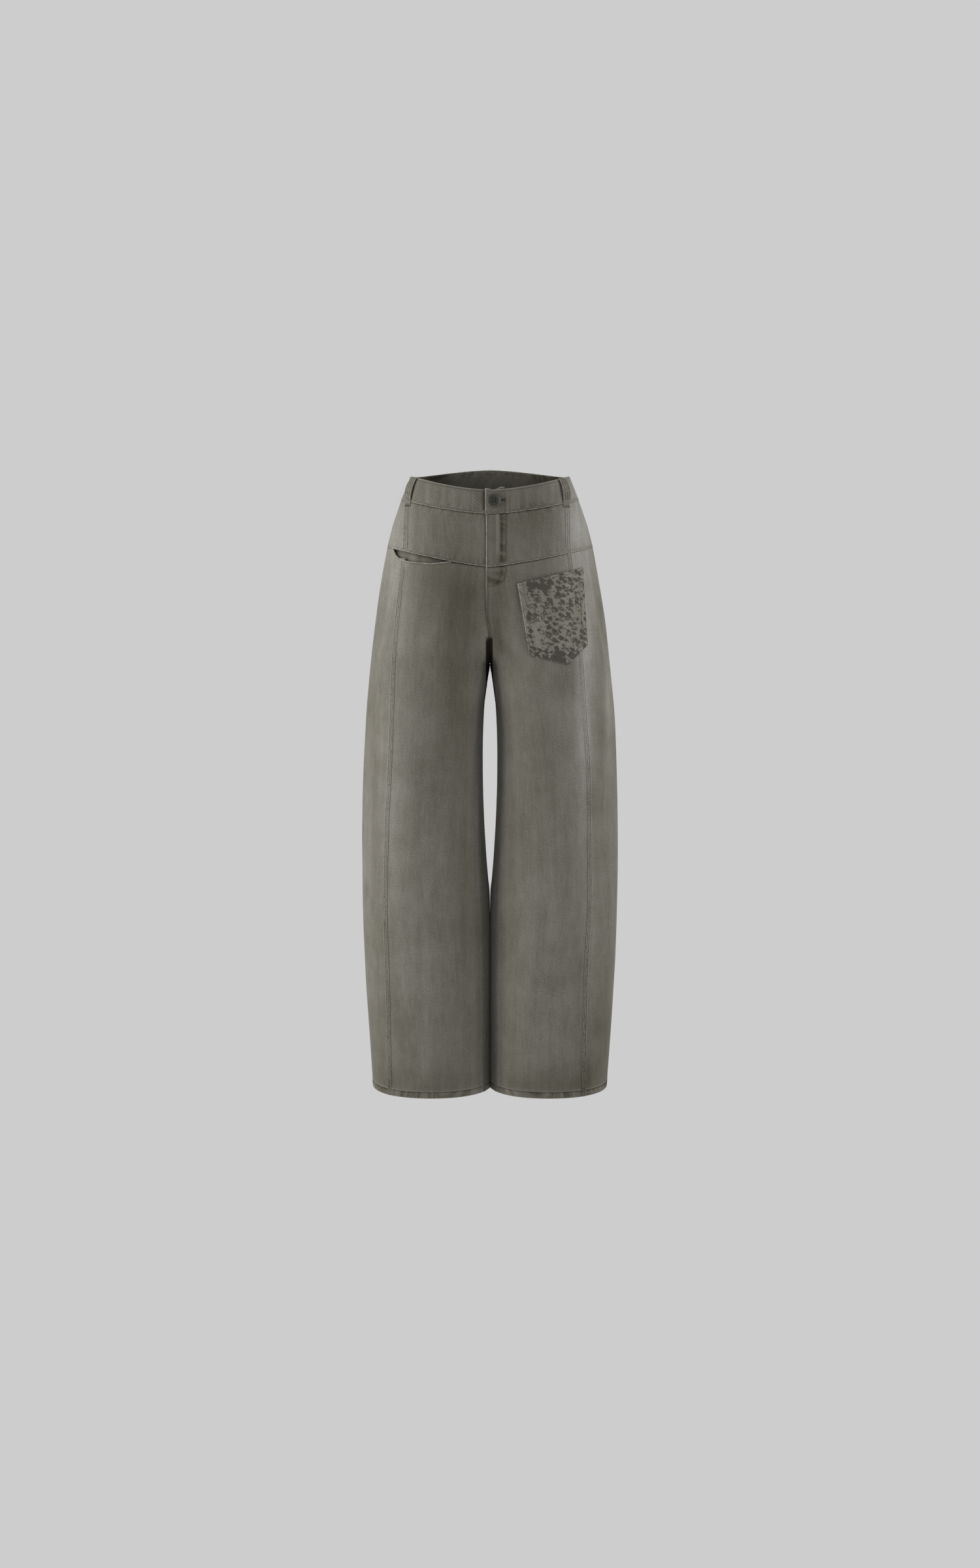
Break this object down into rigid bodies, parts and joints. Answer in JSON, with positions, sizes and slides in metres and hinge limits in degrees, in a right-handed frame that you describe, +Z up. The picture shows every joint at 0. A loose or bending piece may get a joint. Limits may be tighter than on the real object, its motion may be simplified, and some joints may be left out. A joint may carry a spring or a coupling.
{
  "type": "wide-leg trousers",
  "caption": "High-waisted wide-leg trousers in washed grey-brown twill, filled out as worn, with yokes, a buttoned waistband, belt loops, a slit pocket and a spotted patch pocket.",
  "frame": {"origin": "inside the waist, on the centre line, at the level of the middle of the waistband at the sides: where the wearer's waist holds the trousers up", "axes": "+Z up along the wearer, -Y to the front, +X to the wearer's left"},
  "size_m": [0.4308, 0.2475, 1.044],
  "materials": {
    "washed_twill": "matt cotton twill, garment-washed, paler along the worn edges",
    "printed_twill": "matt cotton twill with a dark animal-spot print",
    "button_plastic": "satin dark grey-green"
  },
  "bodies": {
    "root": {"waistband_front_right": "washed_twill", "waistband_front_left": "washed_twill", "waistband_back": "washed_twill", "front_yoke_right": "washed_twill", "front_yoke_left": "washed_twill", "back_yoke_right": "washed_twill", "back_yoke_left": "washed_twill", "front_leg_right": "washed_twill", "front_leg_left": "washed_twill", "back_leg_right": "washed_twill", "back_leg_left": "washed_twill", "fly_shield": "washed_twill", "slit_pocket_facing": "washed_twill", "patch_pocket": "printed_twill", "belt_loop_front_right": "washed_twill", "belt_loop_front_left": "washed_twill", "belt_loop_back": "washed_twill", "button": "button_plastic"}
  },
  "joints": []
}
